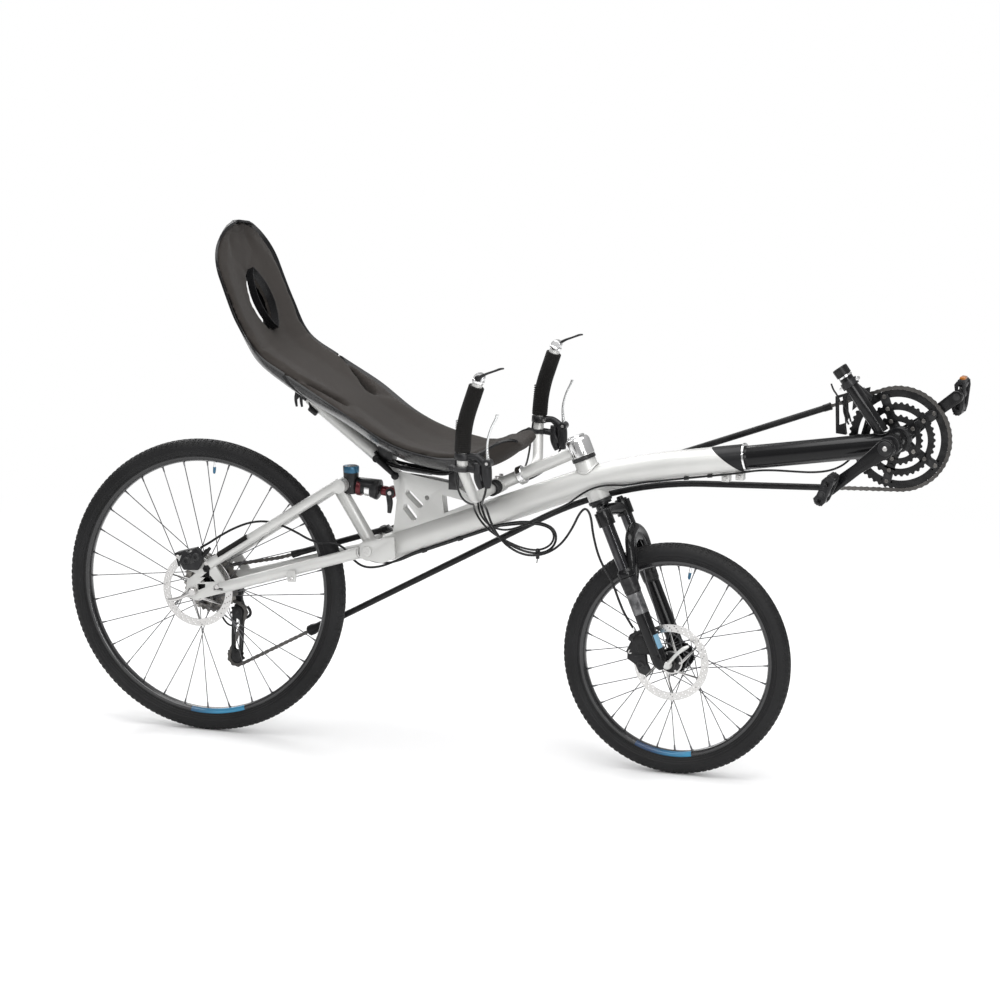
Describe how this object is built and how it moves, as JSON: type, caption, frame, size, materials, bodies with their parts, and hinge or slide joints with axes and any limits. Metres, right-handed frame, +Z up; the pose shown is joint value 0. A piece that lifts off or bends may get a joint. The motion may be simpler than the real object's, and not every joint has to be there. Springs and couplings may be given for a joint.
{
  "type": "recumbent bicycle",
  "caption": "Short-wheelbase recumbent bicycle: reclined hard-shell seat, under-seat handlebar, suspension fork and swingarm, disc brakes, cranks on a front boom.",
  "frame": {"origin": "the rider's hip point, on the seat pad's surface in the mid-plane", "axes": "+X forward, +Y to the rider's left (the chain side), +Z up"},
  "size_m": [1.9511, 0.541, 1.1002],
  "materials": {
    "silver": "satin silver paint",
    "black_metal": "gloss black",
    "polished": "polished",
    "steel": "brushed",
    "spoke": "drawn wire",
    "rubber": "moulded",
    "tyre": "treaded",
    "foam": "cloth-covered foam",
    "shell": "gloss",
    "plastic": "matte",
    "chain": "oiled"
  },
  "bodies": {
    "frame": {"boom": "black_metal", "boom_clamp": "silver", "bottom_bracket": "black_metal", "cable_clips": "plastic", "chain": "chain", "chain_idler": "plastic", "control_cables": "rubber", "derailleur_post": "black_metal", "front_derailleur": "polished", "gear_cables": "rubber", "head_tube": "silver", "headset_cups": "black_metal", "lower_chain_tube": "plastic", "main_tube": "silver", "pivot_axle": "polished", "pivot_lugs": "silver", "rear_axle": "polished", "rear_brake_caliper": "black_metal", "rear_brake_hose": "rubber", "rear_chain_tube": "plastic", "rear_derailleur": "black_metal", "rear_shock": "black_metal", "seat_brackets": "black_metal", "seat_gusset": "silver", "seat_mast": "silver", "seat_pad": "foam", "seat_shell": "shell", "swingarm": "silver", "upper_chain_tube": "plastic"},
    "steering": {"fork_crown": "black_metal", "fork_stanchions": "black_metal", "fork_lowers": "black_metal", "front_axle": "polished", "front_brake_caliper": "black_metal", "stem": "silver", "handlebar": "silver", "bar_grips": "rubber", "bar_end_shifters": "polished", "brake_levers": "black_metal", "front_brake_hose": "rubber"},
    "rear_wheel": {"rear_tyre": "tyre", "rear_rim": "black_metal", "rear_spokes": "spoke", "rear_hub": "black_metal", "rear_brake_rotor": "steel", "rear_cassette": "chain"},
    "front_wheel": {"front_tyre": "tyre", "front_rim": "black_metal", "front_spokes": "spoke", "front_hub": "black_metal", "front_brake_rotor": "steel"},
    "crankset": {"chainrings": "black_metal", "left_crank_arm": "black_metal", "right_crank_arm": "black_metal", "crank_spindle": "steel", "pedal_spindles": "steel"},
    "left_pedal_body": {"left_pedal": "plastic"},
    "right_pedal_body": {"right_pedal": "plastic"}
  },
  "joints": [
    {"name": "steering", "type": "hinge", "parent": "frame", "child": "steering", "pos_m": [0.367, 0, -0.054], "axis": [-0.3907, 0, 0.9205], "range_deg": [-20, 20], "deforming": ["control_cables"]},
    {"name": "front_wheel_spin", "type": "hinge", "parent": "steering", "child": "front_wheel", "pos_m": [0.556, 0, -0.419], "axis": [0, 1, 0], "continuous": true},
    {"name": "rear_wheel_spin", "type": "hinge", "parent": "frame", "child": "rear_wheel", "pos_m": [-0.5, 0, -0.344], "axis": [0, 1, 0], "continuous": true},
    {"name": "crank_spin", "type": "hinge", "parent": "frame", "child": "crankset", "pos_m": [1.002, 0, 0.064], "axis": [0, 1, 0], "continuous": true},
    {"name": "left_pedal_spin", "type": "hinge", "parent": "crankset", "child": "left_pedal_body", "pos_m": [1.11469, 0.1, 0.15525], "axis": [0, 1, 0], "continuous": true},
    {"name": "right_pedal_spin", "type": "hinge", "parent": "crankset", "child": "right_pedal_body", "pos_m": [0.88931, -0.1, -0.02725], "axis": [0, 1, 0], "continuous": true}
  ]
}
